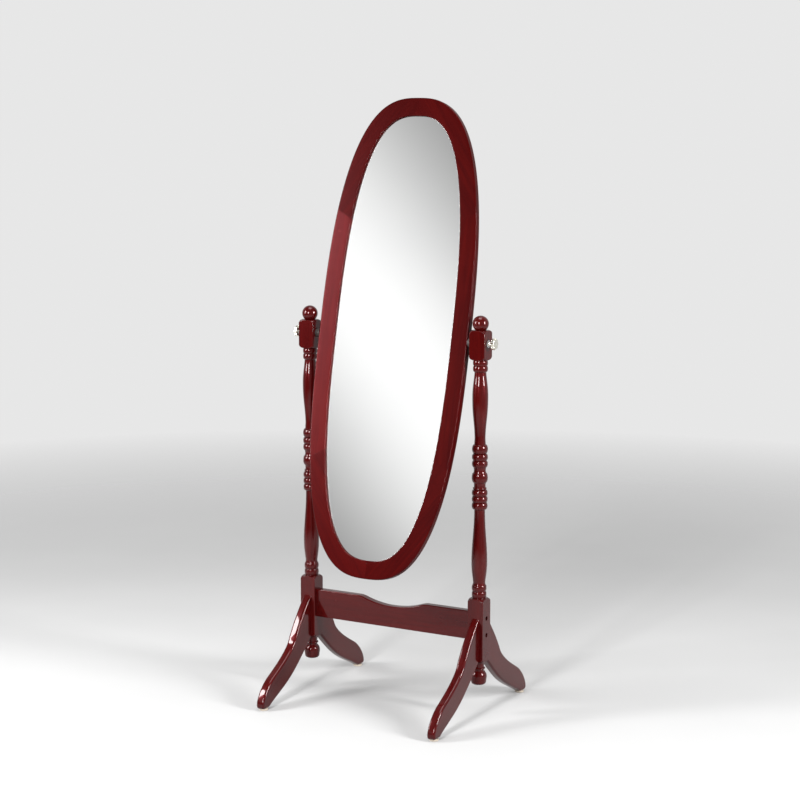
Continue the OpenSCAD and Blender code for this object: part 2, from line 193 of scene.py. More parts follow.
def square_block(bottom, top):
    """A square of the stick whose corners are turned away to round shoulders at both ends."""
    release()
    bpy.ops.mesh.primitive_cube_add(size=1, location=(POST_X * MM, 0, (bottom + top) / 2 * MM))
    block = named("block")
    block.scale = (2 * BLOCK_HALF * MM, 2 * BLOCK_HALF * MM, (top - bottom) * MM)
    bpy.ops.object.transform_apply(location=True, rotation=True, scale=True)
    bpy.ops.object.mode_set(mode="EDIT")
    bpy.ops.mesh.select_all(action="DESELECT")
    mesh = bmesh.from_edit_mesh(block.data)
    for edge in mesh.edges:
        if abs(edge.verts[0].co.z - edge.verts[1].co.z) > MM:
            edge.select_set(True)
    bmesh.update_edit_mesh(block.data)
    bpy.ops.mesh.bevel(offset=1.4 * MM, segments=4, affect="EDGES")
    release()
    corner = BLOCK_HALF * math.sqrt(2) + 0.1
    inner = corner - SHOULDER
    outline = [(0, bottom)]
    outline += arc((inner, bottom + SHOULDER), SHOULDER, -90, 0, 10)
    outline += arc((inner, top - SHOULDER), SHOULDER, 0, 90, 10)
    outline += [(0, top)]
    shoulders = turned("shoulders", outline, (POST_X, 0, 0), (0, 0, 1), 96)
    return combined(block, shoulders, "INTERSECT")


post_outline = [(0, 79.3)]
post_outline += arc((11.6, 86.3), 7, -90, -8, 8)
post_outline += arc((0, 98.5), 20, 0, 49.4, 10)
post_outline += bead(119.9, 2.4, 15.8, 13, 8)
post_outline += curve((13, 122.5), (13, 131.5), (15, 134.5), (17, 136.5), 8)
post_outline += [(15.8, 139)]
post_outline += [(15.8, FOOT_TOP - 2)]
post_outline += bead(FOOT_TOP + 8.8, 7.7, 18)
post_outline += bead(FOOT_TOP + 24.8, 7.7, 18)
post_outline += curve((15.8, 328.5), (14.6, 331.5), (14.8, 333.5), (15, 335.5), 5)
post_outline += curve((15, 335.5), (17, 353.5), (19.2, 361.5), (19.2, 387.5), 12)
post_outline += curve((19.2, 387.5), (19.2, 427.5), (13, 463), (13, 513), 16)
for height, half in ((-69, 8.2), (-53, 7.6), (-37.4, 7.6)):
    post_outline += bead(MIDDLE + height, half, 19.2)
post_outline += bead(MIDDLE - 26.2, 2.6, 16.8, 14, 8)
post_outline += curve((14, MIDDLE - 22), (14, MIDDLE - 18), (14, MIDDLE - 14), (15.8, MIDDLE - 12), 6)
post_outline += bead(MIDDLE, 11.6, 19.4, steps=14)
post_outline += curve((15.8, MIDDLE + 12), (14, MIDDLE + 15), (14, MIDDLE + 21), (15.8, MIDDLE + 25), 8)
post_outline += bead(MIDDLE + 33.5, 8, 19.2)
post_outline += bead(MIDDLE + 50, 8, 19.2)
post_outline += bead(MIDDLE + 69.6, 11, 19.2, 14, 14)
post_outline += curve((13, 680), (13, 724), (19.2, 737.5), (19.2, 787.5), 16)
post_outline += curve((19.2, 787.5), (19.2, 813.5), (14.5, 833.5), (14.2, 847.5), 10)
post_outline += bead(HUB_BOTTOM - 20.6, 6.9, 18)
post_outline += bead(HUB_BOTTOM - 6.7, 6.7, 18)
post_outline += [(15.8, HUB_BOTTOM + 2), (9.75, HUB_BOTTOM + 2)]
post_outline += arc((0, 963.5), 19.5, -60, 90, 24)

post_right = turned("turned_post_right", post_outline, (POST_X, 0, 0), (0, 0, 1), 72)
for block in (square_block(FOOT_BOTTOM, FOOT_TOP), square_block(HUB_BOTTOM, HUB_TOP)):
    combined(post_right, block, "UNION")
for bolt_z in (204, 246):
    combined(post_right, drill(5.5, (POST_X + BLOCK_HALF, 0, bolt_z), 24), "DIFFERENCE")
combined(post_right, drill(3.1, (POST_X, 0, PIVOT_Z), 60), "DIFFERENCE")

# The arched edges where the flats meet the turned shoulders are rubbed down before staining.
take(post_right)
bpy.ops.object.mode_set(mode="EDIT")
bpy.ops.mesh.select_all(action="SELECT")
bpy.ops.mesh.remove_doubles(threshold=0.004 * MM)
bpy.ops.mesh.fill_holes(sides=6)
bpy.ops.mesh.select_all(action="DESELECT")
mesh = bmesh.from_edit_mesh(post_right.data)
for edge in mesh.edges:
    height = edge.verts[0].co.z / MM
    from_end = min(abs(height - end) for end in (HUB_TOP, HUB_BOTTOM, FOOT_TOP, FOOT_BOTTOM))
    reach = min(max(abs(v.co.x / MM - POST_X), abs(v.co.y / MM)) for v in edge.verts)
    on_flat = reach > BLOCK_HALF - 0.02
    if on_flat and from_end < SHOULDER + 1 and edge.calc_face_angle(0) > math.radians(26):
        edge.select_set(True)
bmesh.update_edit_mesh(post_right.data)
bpy.ops.mesh.bevel(offset=SHOULDER_EASE * MM, segments=3, affect="EDGES")
release()
smoothed(post_right)
post_left = twin(post_right, "turned_post_left")


class Value:
    """A node's output. Python's operators on it add Math nodes."""

    def __init__(self, finish, socket):
        self.finish = finish
        self.socket = socket

    def math(self, operation, *values):
        return self.finish.add("Math", {"operation": operation}, dict(enumerate(values)))

    def __add__(self, other):
        return self.math("ADD", self, other)

    __radd__ = __add__

    def __sub__(self, other):
        return self.math("SUBTRACT", self, other)

    def __rsub__(self, other):
        return self.math("SUBTRACT", other, self)

    def __mul__(self, other):
        return self.math("MULTIPLY", self, other)

    __rmul__ = __mul__

    def __truediv__(self, other):
        return self.math("DIVIDE", self, other)

    def __pow__(self, other):
        return self.math("POWER", self, other)


class Finish:
    """A node tree that is built up one node at a time."""

    def __init__(self, owner):
        owner.use_nodes = True
        self.owner = owner
        self.tree = owner.node_tree
        self.tree.nodes.clear()

    def add(self, kind, settings=None, inputs=None, output=0):
        """Adds a node with its settings, then fills its sockets, and gives one of its outputs."""
        node = self.tree.nodes.new("ShaderNode" + kind)
        for key, value in (settings or {}).items():
            if key == "stops":
                while len(node.color_ramp.elements) < len(value):
                    node.color_ramp.elements.new(1)
                for element, (place, colour) in zip(node.color_ramp.elements, value):
                    element.position = place
                    element.color = (*colour, 1)
            else:
                setattr(node, key, value)
        for key, value in (inputs or {}).items():
            if isinstance(value, Value):
                self.tree.links.new(value.socket, node.inputs[key])
            else:
                node.inputs[key].default_value = value
        return Value(self, node.outputs[output]) if node.outputs else None

    def mix(self, factor, a, b, blend="MIX"):
        """Mixes two colours."""
        a, b = (v if isinstance(v, Value) else (*v, 1) for v in (a, b))
        settings = {"data_type": "RGBA", "blend_type": blend}
        return self.add("Mix", settings, {0: factor, 6: a, 7: b}, output=2)

    def place(self, turn=(0, 0, 0), shift=(0, 0, 0), stretch=(1, 1, 1)):
        """Places on the piece in metres, shifted, turned and stretched for a pattern."""
        here = self.add("TexCoord", output="Object")
        settings = {"vector_type": "POINT"}
        return self.add("Mapping", settings, {0: here, 1: shift, 2: turn, 3: stretch})

    def noise(self, where, scale, detail=3, roughness=0.5, distortion=0):
        """Soft noise from 0 to 1."""
        values = {"Vector": where, "Scale": scale, "Detail": detail, "Roughness": roughness}
        return self.add("TexNoise", None, {**values, "Distortion": distortion})

    def ramp(self, value, low, high):
        """A value from 0 to 1 as another runs from low to high."""
        return self.add("MapRange", None, {0: value, 1: low, 2: high, 3: 0, 4: 1})

    def bump(self, height, strength, distance, under=None):
        """A surface normal from heights, on top of another bump."""
        values = {"Height": height, "Strength": strength, "Distance": distance}
        if under:
            values["Normal"] = under
        return self.add("Bump", None, values)

    def surface(self, **inputs):
        """The closing shader; an underscore in a name stands for a space."""
        shader = self.add("BsdfPrincipled", None, {k.replace("_", " "): v for k, v in inputs.items()})
        self.add("OutputMaterial", None, {"Surface": shader})
        return self.owner


def cherry(name, turn, seed, shade=0.80, gloss=0.46, shine=0.16):
    """Dark cherry stain under gloss lacquer, with its grain along the turned Z axis. shade scales
    the stain, gloss is the clear coat's strength and shine that of the soft red sheen under it.
    On the frame pieces shade and shine also carry painted light: a lighter stain and a stronger
    sheen where more light falls, and a darker stain with less sheen as painted shade."""
    wood = Finish(bpy.data.materials.new(name))
    grain = wood.place(turn, (seed, seed * 0.7, seed * 1.3))
    stretched = wood.add("VectorMath", {"operation": "MULTIPLY"}, {0: grain, 1: (1, 1, 0.05)})
    figure = wood.noise(stretched, 34, 4, 0.55, 1.2)
    lines = wood.noise(stretched, 260, 3, 0.6, 0.4)
    pores = wood.ramp(wood.noise(stretched, 1500, 2, 0.6), 0.6, 0.72)
    cloud = wood.noise(grain, 7, 2)
    deep = tuple(c * shade for c in (0.030, 0.0006, 0.0008))
    warm = tuple(c * shade for c in (0.060, 0.0018, 0.0014))
    tone = wood.ramp(figure * 0.5 + lines * 0.3 + cloud * 0.2, 0.34, 0.66)
    stain = wood.mix(tone, deep, warm)
    stain = wood.mix(pores * 0.5, stain, tuple(c * 0.35 for c in deep))
    rubbed = wood.noise(grain, 22, 3)
    peel = wood.noise(grain, 420, 2)
    relief = wood.bump(lines * 0.6 - pores * 0.8, 0.10, 0.00012)
    relief = wood.bump(peel, 0.035, 0.00025, relief)
    return wood.surface(
        Base_Color=stain,
        Roughness=0.24 + rubbed * 0.05,
        Specular_IOR_Level=shine,
        Specular_Tint=(1.0, 0.16, 0.19, 1),
        Normal=relief,
        Coat_Weight=gloss - pores * 0.06,
        Coat_Roughness=0.04,
        Coat_IOR=1.5,
    )


for piece, node, seed in ((post_right, "post_right", 0.0), (post_left, "post_left", 3.1)):
    piece.data.materials.append(cherry("cherry_" + node, (0, 0, 0), seed))
    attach(piece, "stand")
    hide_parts(node)

# ---- Legs ----
# Four legs are sawn from 22 mm cherry board in a long S, with their edges rounded over. Two
# dowels and glue hold each to a face of the lower block.

LEG_REACH = 243
LEG_TOP = 247
LEG_HALF = 11
LAND_Z = 5


def leg_place(along, up):
    """A place on the leg's side: a part of the way from block to toe, and of the leg's height."""
    return (BLOCK_HALF + along * (LEG_REACH - BLOCK_HALF), up * LEG_TOP)


def board(name, outline, thickness, offset, round_over, keeps):
    """A board drawn as its closed outline, extruded, with the edges of its broad faces rounded.
    keeps tells by an edge's two ends whether it stays square."""
    piece = draw(name, outline + outline[:1])
    bpy.ops.mesh.select_all(action="SELECT")
    bpy.ops.mesh.remove_doubles(threshold=0.01 * MM)
    bpy.ops.mesh.edge_face_add()
    bpy.ops.mesh.extrude_region_move(TRANSFORM_OT_translate={"value": Vector(offset) * thickness * MM})
    tidy_mesh()
    bpy.ops.mesh.select_all(action="DESELECT")
    mesh = bmesh.from_edit_mesh(piece.data)
    across = Vector(offset)
    for edge in mesh.edges:
        a, b = (v.co / MM for v in edge.verts)
        if abs((a - b).dot(across)) < 0.01 and not keeps(a, b):
            edge.select_set(True)
    bmesh.update_edit_mesh(piece.data)
    bpy.ops.mesh.bevel(
        offset=round_over * MM, segments=5, affect="EDGES", clamp_overlap=False, miter_outer="SHARP"
    )
    tidy_mesh()
    release()
    return smoothed(piece)


waist = leg_place(0.343, 0.591)
instep = leg_place(0.784, 0.304)
toe = (LEG_REACH, 14)
land_out = (LEG_REACH - 7, LAND_Z)
land_in = (LEG_REACH - 29, LAND_Z)
hollow = leg_place(0.411, 0.239)
heel = (BLOCK_HALF, FOOT_BOTTOM)
leg_outline = [leg_place(0, 1)]
leg_outline += curve(leg_place(0, 1), leg_place(0.105, 0.915), leg_place(0.294, 0.688), waist, 16)
leg_outline += curve(waist, leg_place(0.402, 0.494), leg_place(0.627, 0.377), instep, 16)
leg_outline += curve(instep, leg_place(0.883, 0.255), (LEG_REACH, 34), toe, 12)
leg_outline += curve(toe, (LEG_REACH, 8.5), (LEG_REACH - 3, LAND_Z), land_out, 6)
leg_outline += [land_in]
leg_outline += curve(land_in, leg_place(0.762, 0.081), leg_place(0.564, 0.146), hollow, 16)
leg_outline += curve(hollow, leg_place(0.285, 0.312), leg_place(0.114, 0.457), heel, 16)
rear_right = board(
    "sawn_leg_rear_right",
    [(POST_X - LEG_HALF, along, up) for along, up in leg_outline],
    2 * LEG_HALF,
    (1, 0, 0),
    5.5,
    lambda a, b: a.y < BLOCK_HALF + 0.01 and b.y < BLOCK_HALF + 0.01,
)
legs = {
    "rear_leg_right": rear_right,
    "rear_leg_left": twin(rear_right, "sawn_leg_rear_left"),
    "front_leg_right": twin(rear_right, "sawn_leg_front_right", (1, -1, 1)),
}
legs["front_leg_left"] = twin(legs["front_leg_right"], "sawn_leg_front_left")
for number, (node, piece) in enumerate(legs.items()):
    slope = math.radians(-52 if "rear" in node else 52)
    piece.data.materials.append(cherry("cherry_" + node, (slope, 0, 0), 1.7 + number))
    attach(piece, "stand")
    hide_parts(node)

# ---- Stretcher ----
# One board joins the posts. Its top edge has a shallow dip between two crests, and its edges
# are eased. Round holes in its rear face take the cross nuts of the bolts.

STRETCHER_END = POST_X - BLOCK_HALF
STRETCHER_BOTTOM = 191
STRETCHER_TOP = 261.5
STRETCHER_THICKNESS = 20
DIP_RADIUS = 240
CREST_RADIUS = 60
dip_z = STRETCHER_TOP - 17 + DIP_RADIUS
rise = dip_z - (STRETCHER_TOP - CREST_RADIUS)
crest_x = math.sqrt((DIP_RADIUS + CREST_RADIUS) ** 2 - rise * rise)
meet = math.degrees(math.atan2(rise, -crest_x))
right_edge = arc((0, dip_z), DIP_RADIUS, -90, meet - 180, 18)
right_edge += arc((crest_x, STRETCHER_TOP - CREST_RADIUS), CREST_RADIUS, meet, 90, 8)[1:]
right_edge += [(STRETCHER_END, STRETCHER_TOP), (STRETCHER_END, STRETCHER_BOTTOM)]
left_edge = [(-x, z) for x, z in reversed(right_edge[1:])]
stretcher = board(
    "sawn_stretcher",
    [(x, -STRETCHER_THICKNESS / 2, z) for x, z in right_edge + left_edge],
    STRETCHER_THICKNESS,
    (0, 1, 0),
    2.6,
    lambda a, b: abs(a.x) > STRETCHER_END - 0.01 and abs(b.x) > STRETCHER_END - 0.01,
)
for side in (-1, 1):
    for bolt_z in (204, 246):
        cutter = drill(5.1, (side * (STRETCHER_END - 28), 6, bolt_z), 28, "Y")
        combined(stretcher, cutter, "DIFFERENCE")
smoothed(stretcher)
stretcher.data.materials.append(cherry("cherry_stretcher", (0, math.pi / 2, 0), 7.3))
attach(stretcher, "stand")
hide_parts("stretcher")

# ---- Mirror frame ----
# The oval frame is glued up from six pieces of cherry: two sides and four quarter ends, each
# sawn from straight board, then shaped, rebated for glass and back, and lacquered.

OVAL_POWER = 2.72
FRAME_A = 208.6
FRAME_B = 591.5
BAND = 45
FRAME_HALF = 9
SIDE_JOINT = 310
REST_TILT = math.radians(12.8)


def hung(x, depth, along):
    """A place on the tilted mirror, in millimetres, from depth behind its front and height along it."""
    y = depth - FRAME_HALF
    return (
        x,
        y * math.cos(REST_TILT) + along * math.sin(REST_TILT),
        PIVOT_Z - y * math.sin(REST_TILT) + along * math.cos(REST_TILT),
    )


def evened(turn):
    """An oval's angle, for a turn from 0 to 1 over its first quarter, at which its points lie evenly."""
    spread = OVAL_POWER / 2
    a, b = turn**spread, (1 - turn) ** spread
    return math.pi / 2 * a / (a + b)


def oval(turn, inset):
    """A point of the oval, inset from the frame's outer edge; a negative turn lies below the middle."""
    angle = evened(min(1.0, abs(turn)))
    x = (FRAME_A - inset) * max(0.0, math.cos(angle)) ** (2 / OVAL_POWER)
    along = (FRAME_B - inset) * math.sin(angle) ** (2 / OVAL_POWER)
    return x, math.copysign(along, turn)


def joint_turn():
    """The turn at which the outer edge of the frame reaches the side joints."""
    angle = math.asin((SIDE_JOINT / FRAME_B) ** (OVAL_POWER / 2))
    share = (angle / (math.pi / 2 - angle)) ** (2 / OVAL_POWER)
    return share / (1 + share)


def frame_section():
    """The frame's section as inset and depth: eased front edges, two rebates and an eased back."""
    points = arc((3, 3), 3, 180, 270, 6)
    points += [(BAND * part, 0) for part in (0.25, 0.5, 0.75)]
    points += arc((BAND - 2, 2), 2, -90, 0, 5)
    points += [(BAND, 6), (BAND - 7, 6), (BAND - 7, 14), (BAND - 14, 14), (BAND - 14, 17.4)]
    points += [(BAND - 14.6, 18), (BAND / 2, 18)]
    points += arc((2.5, 15.5), 2.5, 90, 180, 5)
    return points


def frame_piece(name, start, end, steps):
    """One piece of the frame. The oval isn't a shape that an operator draws, so its rings of
    points are placed by rule; both ends are eased by a hair so that the joint shows."""
    section = frame_section()
    middle = (BAND / 2 - 2, 8)
    ease = 0.0003 * (1 if end > start else -1)
    turns = [start + (end - start) * i / steps for i in range(steps + 1)]
    stations = [(turns[0], 0.995), (turns[0] + ease, 1)]
    stations += [(turn, 1) for turn in turns[1:-1]]
    stations += [(turns[-1] - ease, 1), (turns[-1], 0.995)]
    places = []
    for turn, size in stations:
        for inset, depth in section:
            x, along = oval(turn, middle[0] + (inset - middle[0]) * size)
            places.append(Vector(hung(x, middle[1] + (depth - middle[1]) * size, along)) * MM)
    ring = len(section)
    faces = []
    for station in range(len(stations) - 1):
        for i in range(ring):
            j = (i + 1) % ring
            low, high = station * ring, (station + 1) * ring
            faces.append((low + i, low + j, high + j, high + i))
    faces.append(tuple(range(ring)))
    faces.append(tuple(range((len(stations) - 1) * ring, len(stations) * ring)))
    mesh = bpy.data.meshes.new(name)
    mesh.from_pydata(places, [], faces)
    piece = bpy.data.objects.new(name, mesh)
    bpy.context.scene.collection.objects.link(piece)
    take(piece)
    bpy.ops.object.mode_set(mode="EDIT")
    tidy_mesh(0.001)
    release()
    return piece


turn_at_joint = joint_turn()
side_right = frame_piece("shaped_side_right", -turn_at_joint, turn_at_joint, 56)
combined(side_right, drill(5.05, (FRAME_A - 6.75, 0, PIVOT_Z), 15.5), "DIFFERENCE")
pieces = {
    "frame_side_right": side_right,
    "frame_top_right": frame_piece("shaped_top_right", turn_at_joint, 1, 44),
    "frame_bottom_right": frame_piece("shaped_bottom_right", -turn_at_joint, -1, 44),
}
for node, piece in list(pieces.items()):
    smoothed(piece)
    pieces[node.replace("right", "left")] = twin(piece, piece.name.replace("right", "left"))
# Grain slope, stain shade and sheen strength of each frame piece. The boards differ a little in tone, but
# most of the spread is painted light: the left side has a lighter stain and a stronger sheen as if lit
# more, and the right side and the ends a darker stain and less sheen as painted shade.
frame_tone_and_painted_light = {
    "frame_side_right": (0, 0.78, 0.05), "frame_side_left": (0, 1.0, 0.19),
    "frame_top_right": (37, 0.68, 0.07), "frame_top_left": (-37, 0.65, 0.07),
    "frame_bottom_right": (-37, 0.78, 0.07), "frame_bottom_left": (37, 0.85, 0.13),
}
for number, (node, piece) in enumerate(pieces.items()):
    slope, shade, shine = frame_tone_and_painted_light[node]
    turn = (REST_TILT, math.radians(slope), 0)
    stain = cherry("cherry_" + node, turn, 11.3 + 1.9 * number, shade, 0.10, shine)
    piece.data.materials.append(stain)
    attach(piece, "mirror")
    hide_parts(node)

# ---- Glass ----
# A sheet of 4 mm float glass, silvered behind and held in the frame's rebate. Its surface is
# clean, with only the faintest haze.


def oval_sheet(name, inset, front, back, ease, rings=44):
    """A flat oval sheet between two depths, with its edge eased."""
    turns = [i / rings for i in range(rings + 1)]
    quarter = [(turn, 1) for turn in turns]
    around = quarter + [(turn, -1) for turn in reversed(turns[:-1])]
    around += [(-turn, -1) for turn in turns[1:]] + [(-turn, 1) for turn in reversed(turns[1:-1])]
    levels = [(inset + ease, front), (inset, front + ease), (inset, back - ease), (inset + ease, back)]
    places = []
    for level_inset, depth in levels:
        for turn, side in around:
            x, along = oval(turn, level_inset)
            places.append(Vector(hung(side * x, depth, along)) * MM)
    ring = len(around)
    faces = [tuple(range(ring)), tuple(range(3 * ring, 4 * ring))]
    for level in range(3):
        for i in range(ring):
            j = (i + 1) % ring
            low, high = level * ring, (level + 1) * ring
            faces.append((low + i, low + j, high + j, high + i))
    mesh = bpy.data.meshes.new(name)
    mesh.from_pydata(places, [], faces)
    piece = bpy.data.objects.new(name, mesh)
    bpy.context.scene.collection.objects.link(piece)
    take(piece)
    bpy.ops.object.mode_set(mode="EDIT")
    tidy_mesh(0.001)
    release()
    return piece


def silvered():
    """Silvered glass: a clear reflection with a faint haze in patches."""
    silver = Finish(bpy.data.materials.new("silvered_glass"))
    haze = silver.ramp(silver.noise(silver.place(), 3, 3), 0.45, 0.8)
    return silver.surface(
        Base_Color=silver.mix(haze, (0.97, 0.975, 0.97), (0.94, 0.945, 0.945)),
        Metallic=1.0,
        Roughness=0.004 + haze * 0.012,
    )


glass = smoothed(oval_sheet("silvered_oval", BAND - 6, 6, 10, 0.3))
glass.data.materials.append(silvered())
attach(glass, "mirror")
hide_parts("mirror_glass")

# ---- Back ----
# A sheet of brown hardboard closes the back, on a thin foam sheet that presses the glass
# forward. Twelve small countersunk screws hold it in the frame's second rebate.


def pressed_board():
    """Hardboard: pressed brown fibre with flecks, and a smooth skin."""
    fibre = Finish(bpy.data.materials.new("brown_hardboard"))
    here = fibre.place()
    flecks = fibre.ramp(fibre.noise(here, 900, 3, 0.7, 1.5), 0.5, 0.72)
    cloud = fibre.noise(here, 12, 3)
    brown = fibre.mix(cloud, (0.095, 0.042, 0.020), (0.14, 0.066, 0.031))
    brown = fibre.mix(flecks * 0.5, brown, (0.26, 0.14, 0.07))
    return fibre.surface(
        Base_Color=brown,
        Roughness=0.5 + cloud * 0.2,
        Normal=fibre.bump(fibre.noise(here, 700, 3), 0.25, 0.0002),
    )


SCREW_ANGLES = (8, 38, 68)
SCREW_INSET = BAND - 10.5
screw_places = []
for angle in SCREW_ANGLES:
    x = (FRAME_A - SCREW_INSET) * math.cos(math.radians(angle)) ** (2 / OVAL_POWER)
    along = (FRAME_B - SCREW_INSET) * math.sin(math.radians(angle)) ** (2 / OVAL_POWER)
    screw_places += [(sx * x, sz * along) for sx in (-1, 1) for sz in (-1, 1)]


def hang(piece):
    """Tilts a piece drawn upright round the tilt axis back to where the mirror rests."""
    take(piece)
    bpy.ops.object.mode_set(mode="EDIT")
    bpy.ops.mesh.select_all(action="SELECT")
    bpy.ops.transform.rotate(value=REST_TILT, orient_axis="X", center_override=(0, 0, PIVOT_Z * MM))
    release()
    return piece


def gathered(name, parts):
    """Several solids joined as one piece."""
    take(parts[0])
    for part in parts[1:]:
        part.select_set(True)
    if len(parts) > 1:
        bpy.ops.object.join()
    return named(name)


back = oval_sheet("hardboard_back", BAND - 13.2, 14, 17, 0.3)
sink_outline = [(0, -5), (1.5, -5), (1.5, -1.5), (3, 0), (3, 1), (0, 1)]
sinks = []
for x, along in screw_places:
    outline = [(r, depth + 17 - FRAME_HALF) for r, depth in sink_outline]
    sinks.append(turned("sink", outline, (x, 0, PIVOT_Z + along), (0, 1, 0), 24))
combined(back, hang(gathered("sinks", sinks)), "DIFFERENCE")
smoothed(back)
back.data.materials.append(pressed_board())
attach(back, "mirror")
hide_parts("back_panel")


def zinc():
    """Bright zinc plate: pale blue-grey with a soft mottle."""
    plate = Finish(bpy.data.materials.new("zinc_plate"))
    mottle = plate.noise(plate.place(), 500, 3)
    return plate.surface(
        Base_Color=plate.mix(mottle, (0.52, 0.53, 0.55), (0.68, 0.69, 0.70)),
        Metallic=1.0,
        Roughness=0.22 + mottle * 0.18,
        Normal=plate.bump(mottle, 0.1, 0.0001),
    )


screws = []
screw_outline = [(0, -11.8), (0.7, -11.2), (1.35, -9.6), (1.35, -1.6)]
screw_outline += [(2.75, -0.15), (2.75, 0), (0, 0.12)]
for x, along in screw_places:
    outline = [(r, depth + 17 - FRAME_HALF) for r, depth in screw_outline]
    screw = turned("screw", outline, (x, 0, PIVOT_Z + along), (0, 1, 0), 32)
    for slot_x, slot_z in ((2.8, 0.65), (0.65, 2.8)):
        release()
        bpy.ops.mesh.primitive_cube_add(size=1, location=(x * MM, 8 * MM, (PIVOT_Z + along) * MM))
        slot = named("slot")
        slot.scale = (slot_x * MM, 1.4 * MM, slot_z * MM)
        bpy.ops.object.transform_apply(location=True, rotation=True, scale=True)
        combined(screw, slot, "DIFFERENCE")
    screws.append(screw)
back_screws = smoothed(hang(gathered("countersunk_screws", screws)), 40, flats=False)
zinc_plate = zinc()
back_screws.data.materials.append(zinc_plate)
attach(back_screws, "mirror")
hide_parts("back_panel_screws")

# The foam sheet, the dowels and the loose tongues lie unseen in the joints, so the plain
# solids stay and only take their finishes.
foam = Finish(bpy.data.materials.new("white_foam"))
cells = foam.noise(foam.place(), 1200, 2)
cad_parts["backing_pad"].data.materials.clear()
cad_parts["backing_pad"].data.materials.append(
    foam.surface(
        Base_Color=foam.mix(cells, (0.62, 0.62, 0.60), (0.82, 0.82, 0.80)),
        Roughness=0.75 + cells * 0.2,
        Normal=foam.bump(cells, 0.4, 0.0004),
    )
)
beech = Finish(bpy.data.materials.new("bare_beech"))
rays = beech.noise(beech.place(stretch=(1, 0.08, 1)), 600, 3, 0.6)
bare_beech = beech.surface(
    Base_Color=beech.mix(rays, (0.50, 0.33, 0.19), (0.68, 0.50, 0.32)),
    Roughness=0.55 + rays * 0.2,
    Normal=beech.bump(rays, 0.2, 0.0002),
)
for node in ("leg_dowels", "frame_splines"):
    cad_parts[node].data.materials.clear()
    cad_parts[node].data.materials.append(bare_beech)

# ---- Tilt hardware ----
# A threaded stud fixed in each cast knob goes through the post and a nylon spacer into a brass
# insert in the frame's edge. Tightening the knob clamps the mirror's tilt.

KNOB_BASE = 262.45
FACE_GAP = 0.3
STUD_HOLE = 3.06
LOBE_CIRCLE = 10.4
LOBE_RADIUS = 3.6
LOBE_HOLLOW = 11.84


def nylon():
    """Dark moulded nylon with a fine matt texture."""
    moulded = Finish(bpy.data.materials.new("dark_nylon"))
    speckle = moulded.noise(moulded.place(), 1500, 2)
    return moulded.surface(
        Base_Color=moulded.mix(speckle, (0.020, 0.014, 0.013), (0.034, 0.024, 0.022)),
        Roughness=0.38 + speckle * 0.15,
        Normal=moulded.bump(speckle, 0.15, 0.0001),
    )


def pale_brass():
    """Polished pale brass plate, a little tarnished in patches."""
    plate = Finish(bpy.data.materials.new("pale_brass"))
    here = plate.place()
    tarnish = plate.ramp(plate.noise(here, 160, 4, 0.6), 0.45, 0.75)
    return plate.surface(
        Base_Color=plate.mix(tarnish, (0.96, 0.94, 0.86), (0.82, 0.79, 0.62)),
        Metallic=1.0,
        Roughness=0.14 + tarnish * 0.16,
        Normal=plate.bump(plate.noise(here, 900, 2), 0.06, 0.0001),
    )


def yellow_brass():
    """Plain turned brass."""
    bar = Finish(bpy.data.materials.new("plain_brass"))
    rings = bar.noise(bar.place(stretch=(1, 0.1, 0.1)), 2500, 2)
    return bar.surface(
        Base_Color=bar.mix(rings, (0.62, 0.43, 0.17), (0.78, 0.58, 0.28)),
        Metallic=1.0,
        Roughness=0.25 + rings * 0.15,
        Normal=bar.bump(rings, 0.1, 0.0001),
    )


def ring_x(name, inner, outer, start, end, ease):
    """A ring round the tilt axis with its edges eased."""
    outline = [(inner, start + ease), (inner + ease, start), (outer - ease, start), (outer, start + ease)]
    outline += [(outer, end - ease), (outer - ease, end), (inner + ease, end), (inner, end - ease)]
    return turned(name, outline + outline[:1], (0, 0, PIVOT_Z), (1, 0, 0))


def knob_radius(angle):
    """The rim of the knob: eight lobes with soft hollows between them."""
    off = (angle + math.pi / 8) % (math.pi / 4) - math.pi / 8
    aside = abs(LOBE_CIRCLE * math.sin(off))
    if aside >= LOBE_RADIUS:
        return LOBE_HOLLOW
    return max(LOBE_CIRCLE * math.cos(off) + math.sqrt(LOBE_RADIUS**2 - aside**2), LOBE_HOLLOW)


def lobed_knob(name):
    """The cast knob: a lobed disc with rounded rims and a dished face, on a turned collar."""
    disc_start, disc_end = KNOB_BASE + 9.5, KNOB_BASE + 18.5
    rim = []
    for i in range(96):
        angle = math.tau * i / 96
        radius = knob_radius(angle)
        rim.append((disc_start, radius * math.cos(angle), PIVOT_Z + radius * math.sin(angle)))
    disc = board(name, rim, disc_end - disc_start, (1, 0, 0), 1.5, lambda a, b: False)
    dish = [(0, disc_end - 0.9), (4.2, disc_end - 0.9), (7.6, disc_end + 0.6)]
    dish += [(7.6, disc_end + 2), (0, disc_end + 2)]
    combined(disc, turned("dish", dish, (0, 0, PIVOT_Z), (1, 0, 0), 48), "DIFFERENCE")
    collar = [(0, KNOB_BASE), (5.1, KNOB_BASE), (5.5, KNOB_BASE + 0.4), (5.5, KNOB_BASE + 3.2)]
    collar += [(4.9, KNOB_BASE + 3.8), (4.9, KNOB_BASE + 5.2), (5.5, KNOB_BASE + 5.8)]
    collar += [(5.5, KNOB_BASE + 8), (7.2, KNOB_BASE + 9.4)]
    collar += [(7.2, KNOB_BASE + 10.5), (0, KNOB_BASE + 10.5)]
    combined(disc, turned("collar", collar, (0, 0, PIVOT_Z), (1, 0, 0), 48), "UNION")
    combined(disc, drill(3.02, (KNOB_BASE + 5, 0, PIVOT_Z), 14), "DIFFERENCE")
    return smoothed(disc, 35)


